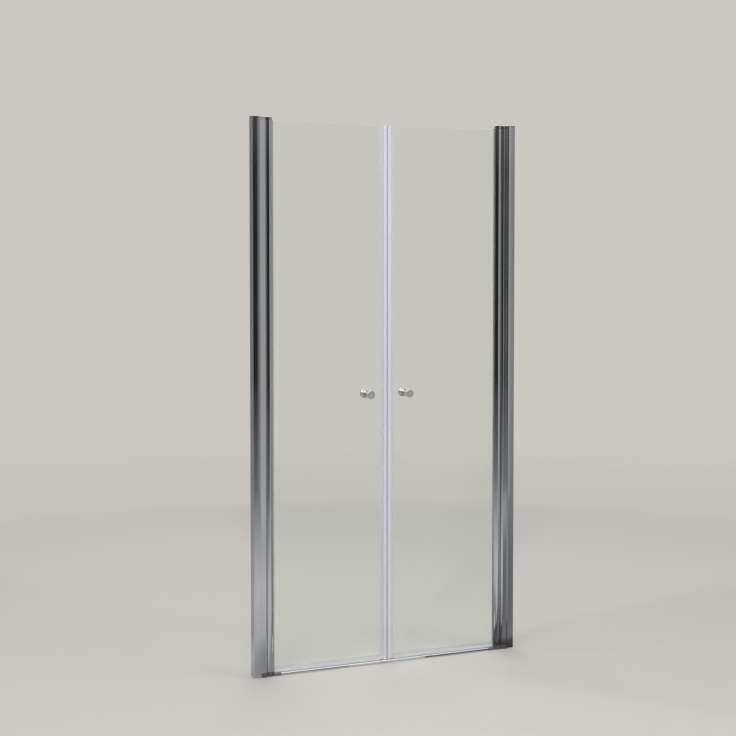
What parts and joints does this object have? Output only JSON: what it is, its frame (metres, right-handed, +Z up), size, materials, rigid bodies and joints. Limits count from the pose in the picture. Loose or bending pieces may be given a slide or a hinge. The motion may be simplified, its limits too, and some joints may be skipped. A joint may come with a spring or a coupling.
{
  "type": "shower door",
  "caption": "Niche shower door: two clear glass leaves on full-height pivot rails that swing in and out, with wall channels, seals, knobs and a low threshold.",
  "frame": {"origin": "on the tray, midway between the two walls, in the middle plane of the glass", "axes": "+X along the doorway to the right wall, +Y into the shower, +Z up"},
  "size_m": [1, 0.072, 1.9],
  "materials": {
    "polished_profile": "chrome-look bright anodised extrusion",
    "chrome_trim": "polished chrome plate",
    "chrome_knob": "polished chrome plate",
    "stainless_steel": "plain stainless",
    "white_nylon": "moulded",
    "clear_glass": "clear toughened glass, polished edges",
    "grey_gasket": "matt",
    "milky_seal": "translucent soft vinyl",
    "clear_seal": "transparent soft vinyl",
    "magnet_strip": "white magnet strip",
    "grey_plastic": "moulded",
    "dark_plastic": "moulded",
    "foam_tape": "black adhesive tape"
  },
  "bodies": {
    "frame": {"left_wall_channel": "polished_profile", "left_top_cap": "chrome_trim", "left_carrier_profile": "polished_profile", "left_seal_lips": "grey_gasket", "left_adjust_screws": "stainless_steel", "left_screw_caps": "chrome_trim", "left_top_bearing": "chrome_trim", "left_bottom_bearing": "dark_plastic", "left_top_pin": "stainless_steel", "left_bottom_pin": "stainless_steel", "left_thrust_washer": "white_nylon", "left_bearing_screws": "stainless_steel", "left_threshold_end": "grey_plastic", "right_wall_channel": "polished_profile", "right_top_cap": "chrome_trim", "right_carrier_profile": "polished_profile", "right_seal_lips": "grey_gasket", "right_adjust_screws": "stainless_steel", "right_screw_caps": "chrome_trim", "right_top_bearing": "chrome_trim", "right_bottom_bearing": "dark_plastic", "right_top_pin": "stainless_steel", "right_bottom_pin": "stainless_steel", "right_thrust_washer": "white_nylon", "right_bearing_screws": "stainless_steel", "right_threshold_end": "grey_plastic", "threshold_strip": "polished_profile", "threshold_tape": "foam_tape"},
    "left_leaf": {"left_pivot_rail": "polished_profile", "left_top_plug": "white_nylon", "left_bottom_plug": "white_nylon", "left_bushes": "white_nylon", "left_plug_screws": "stainless_steel", "left_glass": "clear_glass", "left_glass_gasket": "clear_seal", "left_centre_seal": "milky_seal", "left_magnet_strip": "magnet_strip", "left_drip_seal": "clear_seal", "left_outer_knob": "chrome_knob", "left_inner_knob": "chrome_knob", "left_knob_stud": "stainless_steel", "left_knob_washers": "clear_seal", "left_stud_sleeve": "clear_seal"},
    "right_leaf": {"right_pivot_rail": "polished_profile", "right_top_plug": "white_nylon", "right_bottom_plug": "white_nylon", "right_bushes": "white_nylon", "right_plug_screws": "stainless_steel", "right_glass": "clear_glass", "right_glass_gasket": "clear_seal", "right_centre_seal": "milky_seal", "right_magnet_strip": "magnet_strip", "right_drip_seal": "clear_seal", "right_outer_knob": "chrome_knob", "right_inner_knob": "chrome_knob", "right_knob_stud": "stainless_steel", "right_knob_washers": "clear_seal", "right_stud_sleeve": "clear_seal"}
  },
  "joints": [
    {"name": "left_leaf_swing", "type": "hinge", "parent": "frame", "child": "left_leaf", "pos_m": [-0.44, 0, 0.95], "axis": [0, 0, 1], "range_deg": [-90, 90]},
    {"name": "right_leaf_swing", "type": "hinge", "parent": "frame", "child": "right_leaf", "pos_m": [0.44, 0, 0.95], "axis": [0, 0, -1], "range_deg": [-90, 90]}
  ]
}
